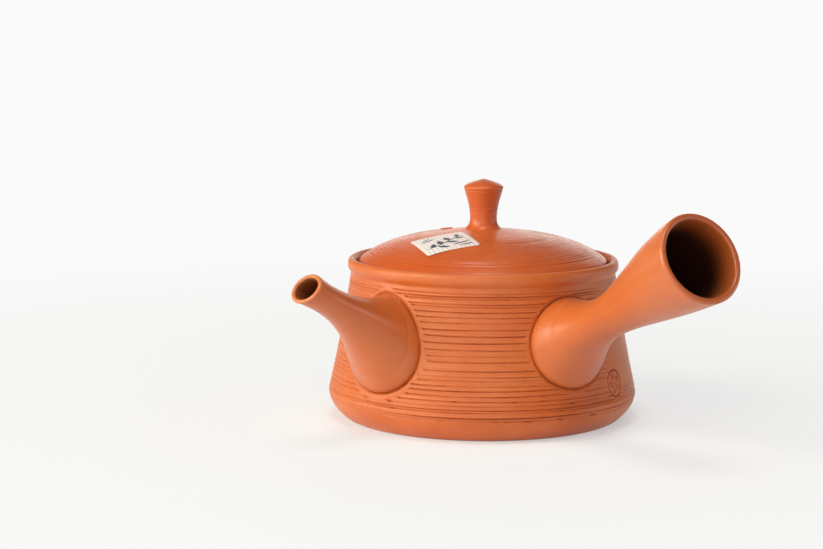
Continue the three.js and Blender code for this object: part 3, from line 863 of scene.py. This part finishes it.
def make_label(material):
    share = np.linspace(-1, 1, LABEL_STEPS + 1)
    flat = np.stack(np.meshgrid(share * LABEL_LENGTH / 2, share * LABEL_WIDTH / 2, indexing="ij"), -1)
    corner = np.array([LABEL_LENGTH, LABEL_WIDTH]) / 2 - LABEL_CORNER
    past = np.clip(np.abs(flat) - corner, 0, None)
    reach, square = np.linalg.norm(past, axis=-1, keepdims=True), past.max(-1, keepdims=True)
    shrink = np.where(square > TINY, square / np.maximum(reach, TINY), 1)
    flat = np.where(past > 0, np.sign(flat) * (corner + past * shrink), flat)
    along, across = flat[..., 0], flat[..., 1]
    low = label_surface(along, across)
    high = low + np.array([0, 0, LABEL_PAPER])
    points = np.vstack([low.reshape(-1, 3), high.reshape(-1, 3)])
    side = LABEL_STEPS + 1
    index = np.arange(side * side).reshape(side, side)
    quads = np.stack([index[:-1, :-1], index[1:, :-1], index[1:, 1:], index[:-1, 1:]], -1).reshape(-1, 4)
    loop = np.concatenate([index[:, 0], index[-1, 1:], index[-2::-1, -1], index[0, -2:0:-1]])
    follow = np.roll(loop, -1)
    rim = np.stack([loop, follow, follow + side * side, loop + side * side], -1)
    faces = np.vstack([quads[:, ::-1], quads + side * side, rim])
    mesh = bpy.data.meshes.new("paper_label")
    mesh.from_pydata((points * MM).tolist(), [], faces.tolist(), shade_flat=False)
    places = mesh.attributes.new("label_place", "FLOAT_VECTOR", "POINT")
    flat = np.stack([along, across, 0 * along], -1).reshape(-1, 3)
    places.data.foreach_set("vector", np.vstack([flat, flat]).astype(np.float32).ravel())
    return add_piece("paper_label", mesh, LID_BODY, material, "lid_label")


def leaf_outline(length, width, start, bearing):
    """The outline of a small brushed leaf, in label millimetres."""
    share = np.linspace(0, 1, 12)
    half = width * np.sin(share * math.pi) ** 0.8 * (1 - 0.35 * share)
    upper = np.stack([share * length, half], -1)
    lower = np.stack([share * length, -half], -1)[::-1][1:-1]
    line = np.concatenate([upper, lower])
    cos, sin = math.cos(bearing), math.sin(bearing)
    return line @ np.array([[cos, sin], [-sin, cos]]) + np.array(start)


def stroke_outline(points, width):
    """A brush stroke along a curve, thick in its middle."""
    line = bezier(points, np.linspace(0, 1, 20))
    way = np.gradient(line, axis=0)
    way /= np.linalg.norm(way, axis=1)[:, None]
    half = width * (0.35 + 0.65 * np.sin(np.linspace(0.1, 3.0, 20)))[:, None]
    across = np.stack([-way[:, 1], way[:, 0]], -1) * half
    return np.vstack([line + across, (line - across)[::-1]])


def make_ink(material):
    """A small brushed sprig and four dashes of ink on the label."""
    shapes = [stroke_outline(*stroke) for stroke in INK_STROKES]
    shapes += [leaf_outline(*leaf) for leaf in INK_LEAVES]
    points, faces = [], []
    for level, shape in enumerate(shapes):
        first, last = len(points), len(points) + len(shape) - 1
        placed = label_surface(*shape.T)
        placed[:, 2] += LABEL_PAPER + INK_REST + INK_LAYER * level
        points.extend((placed * MM).tolist())
        for i in range(len(shape) // 2 - 1):
            faces.append([first + i, last - i, last - 1 - i, first + i + 1])
    mesh = bpy.data.meshes.new("label_ink")
    mesh.from_pydata(points, [], faces)
    mesh.update()
    if mesh.polygons[0].normal.z < 0:
        mesh.flip_normals()
    return add_piece("label_ink", mesh, LID_BODY, material, None)


# Materials

CLAY_MAIN = (0.61, 0.147, 0.03, 1)
CLAY_PALE = (0.72, 0.22, 0.075, 1)
CLAY_DEEP = (0.56, 0.115, 0.022, 1)
LID_MAIN = (0.6, 0.11, 0.018, 1)
LID_DEEP = (0.55, 0.087, 0.014, 1)
# The colour of painted shade in grooves, the seal, the root crevices and the handle's lip; it also tints the
# faint turning streaks
CLAY_SHADE = (0.22, 0.03, 0.008, 1)
# Near black for the painted shade down the bores
PAINTED_BORE_DARK = (0.012, 0.002, 0.001, 1)
PAPER_MAIN = (0.88, 0.87, 0.87, 1)
PAPER_DIM = (0.8, 0.79, 0.79, 1)
INK_DARK = (0.012, 0.017, 0.04, 1)
INK_THIN = (0.075, 0.09, 0.15, 1)
SHEEN_TINT = (1.0, 0.86, 0.76, 1)
# Pale specks in the clay: noise scale and detail, where each starts and is full, and strength
CLAY_SPECKS = ((90, 4, 0.5, 0.85, 0.3), (1500, 2, 0.66, 0.8, 0.22))
ROUGH_CLAY = 0.43
SMOOTH_CLAY = 0.35
# How far painted shade darkens the clay towards CLAY_SHADE
PAINTED_SHADE_TINT = 0.42
STREAK_TINT = 0.07
STREAK_RELIEF = 0.4
# Ruled stripes: pitch, shift in pitches, half-width, strength and colour
PAPER_STRIPES = (
    (1.55, 0.2, 0.3, 0.6, (0.86, 0.36, 0.38, 1)),
    (4.65, 0.45, 0.16, 0.35, (0.45, 0.5, 0.75, 1)),
)


def new_material(name):
    material = bpy.data.materials.new(name)
    material.use_nodes = True
    tree = material.node_tree
    return material, tree, tree.nodes["Principled BSDF"]


def feed(tree, value, socket):
    """Feeds a socket from another socket, or sets it to a plain value."""
    if isinstance(value, bpy.types.NodeSocket):
        tree.links.new(value, socket)
    else:
        socket.default_value = value


def set_up(tree, node, settings):
    """Feeds a node's sockets and sets its properties by name."""
    for key, value in settings.items():
        if key in node.inputs:
            feed(tree, value, node.inputs[key])
        else:
            setattr(node, key, value)
    return node


def add_node(tree, kind, **settings):
    return set_up(tree, tree.nodes.new(kind), settings)


def calculate(tree, operation, *values, kind="ShaderNodeMath"):
    """The number that a sum gives on sockets or plain values. ShaderNodeVectorMath takes vectors."""
    node = add_node(tree, kind, operation=operation)
    for value, socket in zip(values, node.inputs):
        feed(tree, value, socket)
    return node.outputs["Value"]


def mix_colour(tree, factor, first, second):
    """A colour mix whose factor and colours are sockets or plain values."""
    node = add_node(tree, "ShaderNodeMix", data_type="RGBA")
    for socket, value in ((0, factor), (6, first), (7, second)):
        feed(tree, value, node.inputs[socket])
    return node.outputs[2]


def remap(tree, value, low, high, to_low, to_high):
    ends = {"From Min": low, "From Max": high, "To Min": to_low, "To Max": to_high}
    return add_node(tree, "ShaderNodeMapRange", Value=value, **ends).outputs["Result"]


def clay_material(name, roughness, streaks=None, deep=CLAY_DEEP, main=CLAY_MAIN):
    """Fine unglazed red clay, uneven between its deep and main colours. streaks is "up" for turning lines
    round a wall, or "round" for rings on a dome."""
    material, tree, shader = new_material(name)
    place = add_node(tree, "ShaderNodeTexCoord").outputs["Object"]

    def noise(scale, detail, source=place, rough=0.55):
        look = {"Scale": scale, "Detail": detail, "Roughness": rough, "Vector": source}
        return add_node(tree, "ShaderNodeTexNoise", **look).outputs["Fac"]

    def attribute(kind):
        return add_node(tree, "ShaderNodeAttribute", attribute_name=kind).outputs["Fac"]

    def relief(height, strength, distance, **before):
        node = add_node(tree, "ShaderNodeBump", Height=height, Strength=strength, Distance=distance, **before)
        return node.outputs["Normal"]

    colour = mix_colour(tree, remap(tree, noise(30, 3), 0.35, 0.68, 0, 1), deep, main)
    for scale, detail, low, high, strength in CLAY_SPECKS:
        specks = remap(tree, noise(scale, detail), low, high, 0, strength)
        colour = mix_colour(tree, specks, colour, CLAY_PALE)
    # Painted shade: darker in grooves, the seal, the root crevices and on the handle's lip
    colour = mix_colour(tree, remap(tree, attribute("painted_shade"), 0.1, 1, 0, PAINTED_SHADE_TINT), colour, CLAY_SHADE)
    colour = mix_colour(tree, attribute("pale"), colour, CLAY_PALE)
    # Painted shade down the bores of the spout and handle
    colour = mix_colour(tree, attribute("painted_bore_shade"), colour, PAINTED_BORE_DARK)
    normal = relief(noise(420, 3), 0.25, 0.0001)
    if streaks:
        source = place
        if streaks == "round":
            flat = add_node(tree, "ShaderNodeMapping", Vector=place, Scale=(1, 1, 0)).outputs["Vector"]
            outward = calculate(tree, "LENGTH", flat, kind="ShaderNodeVectorMath")
            source = add_node(tree, "ShaderNodeCombineXYZ", Z=outward).outputs["Vector"]
        stretch = add_node(tree, "ShaderNodeMapping", Vector=source, Scale=(0.03, 0.03, 1.0))
        combed = attribute("combed")
        turning = noise(1100, 3, stretch.outputs["Vector"], 0.65)
        tinted = calculate(tree, "MULTIPLY", combed, remap(tree, turning, 0.42, 0.7, 0, STREAK_TINT))
        colour = mix_colour(tree, tinted, colour, CLAY_SHADE)
        normal = relief(turning, remap(tree, combed, 0, 1, 0, STREAK_RELIEF), 0.00016, Normal=normal)
    normal = relief(noise(2600, 3, rough=0.6), 0.3, 0.00006, Normal=normal)
    grain = remap(tree, noise(240, 4), 0.3, 0.7, roughness - 0.04, roughness + 0.05)
    set_up(tree, shader, {
        "Base Color": colour, "Roughness": grain, "Normal": normal,
        "Specular IOR Level": 0.5 if streaks else 0.7,
        "Sheen Weight": 0.05, "Sheen Roughness": 0.3, "Sheen Tint": SHEEN_TINT,
    })
    return material


def paper_material():
    """White label paper with faint red and blue ruled stripes."""
    material, tree, shader = new_material("ruled_paper")
    place = add_node(tree, "ShaderNodeAttribute", attribute_name="label_place").outputs["Vector"]
    along = add_node(tree, "ShaderNodeSeparateXYZ", Vector=place).outputs["X"]
    fibres = add_node(tree, "ShaderNodeTexNoise", Scale=3.0, Detail=4, Vector=place)
    colour = mix_colour(tree, fibres.outputs["Fac"], PAPER_MAIN, PAPER_DIM)
    for pitch, shift, width, strength, ink in PAPER_STRIPES:
        share = calculate(tree, "PINGPONG", calculate(tree, "MULTIPLY_ADD", along, 1 / pitch, shift), 0.5)
        stripe = remap(tree, share, width / pitch, width / pitch * 0.4, 0, strength)
        colour = mix_colour(tree, stripe, colour, ink)
    weave = add_node(tree, "ShaderNodeTexNoise", Scale=14.0, Detail=3, Vector=place).outputs["Fac"]
    relief = add_node(tree, "ShaderNodeBump", Strength=0.2, Distance=0.00003, Height=weave)
    set_up(tree, shader, {"Base Color": colour, "Normal": relief.outputs["Normal"], "Roughness": 0.62})
    return material


def ink_material():
    material, tree, shader = new_material("brush_ink")
    place = add_node(tree, "ShaderNodeTexCoord").outputs["Object"]
    wash = add_node(tree, "ShaderNodeTexNoise", Scale=900.0, Detail=3, Vector=place).outputs["Fac"]
    colour = mix_colour(tree, remap(tree, wash, 0.35, 0.7, 0, 1), INK_DARK, INK_THIN)
    set_up(tree, shader, {"Base Color": colour, "Roughness": 0.5})
    return material


def add_white_to_camera(tree, share, shader, white, output, socket):
    """The white shader for camera, glossy and transmission rays by the share given, else the other."""
    path = add_node(tree, "ShaderNodeLightPath").outputs
    seen = path["Is Camera Ray"]
    for kind in ("Is Glossy Ray", "Is Transmission Ray"):
        seen = calculate(tree, "MAXIMUM", seen, path[kind])
    mixed = add_node(tree, "ShaderNodeMixShader", Fac=calculate(tree, "MULTIPLY", seen, share))
    tree.links.new(shader, mixed.inputs[1])
    tree.links.new(white, mixed.inputs[2])
    tree.links.new(mixed.outputs[0], tree.nodes[output].inputs[socket])


def floor_material():
    """A plain pale table that fades to the backdrop's white, with the object's soft shadow kept."""
    material, tree, shader = new_material("pale_floor")
    set_up(tree, shader, {"Base Color": FLOOR_COLOUR, "Roughness": 0.7, "Specular IOR Level": 0.1})
    place = add_node(tree, "ShaderNodeTexCoord").outputs["Object"]
    outward = calculate(tree, "LENGTH", place, kind="ShaderNodeVectorMath")
    near = remap(tree, outward, *FLOOR_NEAR)
    share = calculate(tree, "ADD", near, remap(tree, outward, *FLOOR_FAR))
    glow = add_node(tree, "ShaderNodeEmission", Color=BACKDROP_COLOUR, Strength=1.0)
    add_white_to_camera(tree, share, shader.outputs[0], glow.outputs[0], "Material Output", "Surface")
    return material


# Stage

BACKDROP_COLOUR = (0.955, 0.957, 0.958, 1)
CEILING_COLOUR = (0.14, 0.14, 0.14, 1)
ROOM_COLOUR = (0.95, 0.925, 0.86, 1)
DIM_SIDE_COLOUR = (0.27, 0.24, 0.2, 1)
FLOOR_COLOUR = (0.9, 0.905, 0.915, 1)
FLOOR_HALF = 14.0
# How the backdrop's white grows over the floor: from and to metres from the pot's axis, and the shares there
FLOOR_NEAR = (0.046, 0.064, 0.42, 0.67)
FLOOR_FAR = (0.064, 0.45, 0, 0.33)
WORLD_STRENGTH = 0.5
DIM_BEARING = 85
DIM_FADE = (0.15, 0.7)
CEILING_FADE = (0.12, 0.4)

CAMERA_PLACE = Vector((-0.62595, -0.51783, 0.16112))
CAMERA_AIM = Vector((-0.01655, 0.0188, 0.04968))
CAMERA_ROLL = -0.26
CAMERA_LENS = 102.2
VIEW_AZIMUTH = 219.6

LAMP_AIM = Vector((0, 0, 0.03))
# Soft square lamps: bearing from the camera (positive to its right) and elevation in degrees, distance
# and size in metres, power in watts and colour
LAMPS = {
    "key": (-56, 28, 1.5, 0.95, 16, (1.0, 0.975, 0.76)),
    "left": (-86, 10, 1.5, 0.75, 9, (1.0, 0.97, 0.76)),
    "right": (92, 9, 1.5, 0.5, 2.2, (1.0, 1.0, 1.0)),
    "front": (-4, 9, 1.7, 1.3, 9.5, (1.0, 0.97, 0.9)),
    "top": (-5, 76, 1.6, 0.6, 8.5, (1.0, 0.98, 0.94)),
    "back": (172, 13, 1.6, 1.2, 5, (1.0, 0.98, 0.9)),
}


def make_camera():
    camera = bpy.data.cameras.new("camera")
    camera.lens = CAMERA_LENS
    camera.sensor_width = 36
    camera.clip_start = 0.01
    camera.clip_end = 50
    holder = new_object("camera", camera)
    ahead = (CAMERA_AIM - CAMERA_PLACE).normalized()
    level = ahead.cross(Vector((0, 0, 1))).normalized()
    upright = level.cross(ahead)
    roll = math.radians(CAMERA_ROLL)
    up = math.cos(roll) * upright + math.sin(roll) * level
    right = ahead.cross(up)
    matrix = Matrix((right, up, -ahead)).transposed().to_4x4()
    matrix.translation = CAMERA_PLACE
    holder.matrix_world = matrix
    bpy.context.scene.camera = holder


def make_floor():
    mesh = bpy.data.meshes.new("floor")
    corners = [(x * FLOOR_HALF, y * FLOOR_HALF, 0) for x, y in ((-1, -1), (1, -1), (1, 1), (-1, 1))]
    mesh.from_pydata(corners, [], [(0, 1, 2, 3)])
    mesh.materials.append(floor_material())
    floor = new_object("floor", mesh)


def make_lights():
    for name, (bearing, elevation, distance, size, power, colour) in LAMPS.items():
        light = bpy.data.lights.new(name, "AREA")
        light.size = size
        light.energy = power
        light.color = colour
        lamp = new_object(name, light)
        turn, rise = math.radians(VIEW_AZIMUTH + bearing), math.radians(elevation)
        away = Vector((math.cos(turn) * math.cos(rise), math.sin(turn) * math.cos(rise), math.sin(rise)))
        lamp.location = LAMP_AIM + away * distance
        lamp.rotation_euler = away.to_track_quat("Z", "Y").to_euler()


def make_world():
    """A white room that grows darker towards its ceiling and to both sides of the camera."""
    world = bpy.data.worlds.new("studio")
    world.use_nodes = True
    tree = world.node_tree
    way = add_node(tree, "ShaderNodeTexCoord").outputs["Generated"]
    upward = add_node(tree, "ShaderNodeSeparateXYZ", Vector=way).outputs["Z"]
    aside = math.radians(VIEW_AZIMUTH + DIM_BEARING)
    sideways = (math.cos(aside), math.sin(aside), 0)
    facing = calculate(tree, "DOT_PRODUCT", way, sideways, kind="ShaderNodeVectorMath")
    dim = remap(tree, calculate(tree, "ABSOLUTE", facing), *DIM_FADE, 0, 1)
    colour = mix_colour(tree, dim, ROOM_COLOUR, DIM_SIDE_COLOUR)
    colour = mix_colour(tree, remap(tree, upward, *CEILING_FADE, 0, 1), colour, CEILING_COLOUR)
    shade = set_up(tree, tree.nodes["Background"], {"Color": colour, "Strength": WORLD_STRENGTH})
    white = add_node(tree, "ShaderNodeBackground", Strength=1.0, Color=colour)
    add_white_to_camera(tree, 1.0, shade.outputs[0], white.outputs[0], "World Output", "Surface")
    bpy.context.scene.world = world


def main():
    bpy.context.scene.view_settings.view_transform = "Standard"
    make_camera()
    make_floor()
    make_lights()
    make_world()
    combed = clay_material("combed_clay", ROUGH_CLAY, "up")
    ringed = clay_material("ringed_clay", SMOOTH_CLAY, "round", LID_DEEP, LID_MAIN)
    plain = clay_material("plain_clay", SMOOTH_CLAY)
    make_pot(combed)
    make_limb("spout_clay", SPOUT, plain, "spout")
    make_limb("handle_clay", HANDLE, plain, "side_handle")
    make_strainer(plain)
    make_lid(ringed)
    make_knob(ringed)
    make_label(paper_material())
    make_ink(ink_material())
    bpy.context.view_layer.update()


main()
